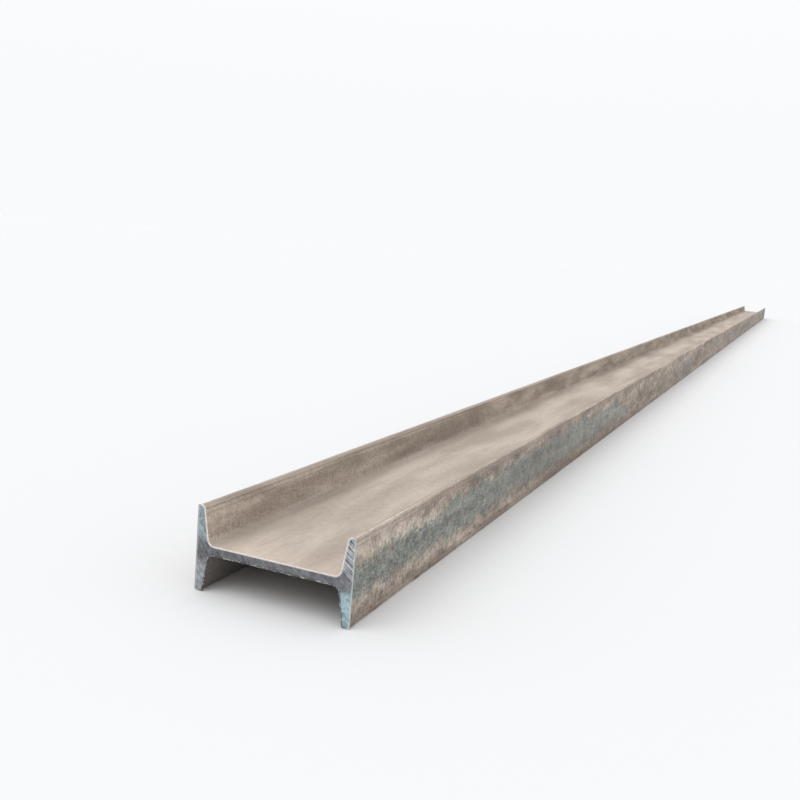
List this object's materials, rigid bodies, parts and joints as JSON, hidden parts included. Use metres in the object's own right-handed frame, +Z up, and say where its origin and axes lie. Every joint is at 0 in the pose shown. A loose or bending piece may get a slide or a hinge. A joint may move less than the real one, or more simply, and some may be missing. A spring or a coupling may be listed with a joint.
{
  "type": "steel i-beam",
  "caption": "Hot-rolled steel I-beam with tapered flanges, rounded roots and toes, and saw-cut ends, lying with its web level as it is stored.",
  "frame": {"origin": "on the floor, under the middle of the beam: the bottom centre of its box", "axes": "+Y along the beam, +X across the section from flange to flange, +Z up, along the flanges' width; the web lies level"},
  "size_m": [0.2, 9, 0.102],
  "materials": {
    "rolled_steel": "hot-rolled, dusted with light tan rust at the flange edges, grey-green mill scale along the middle, bare saw-cut ends"
  },
  "bodies": {
    "root": {"i_beam": "rolled_steel"}
  },
  "joints": []
}
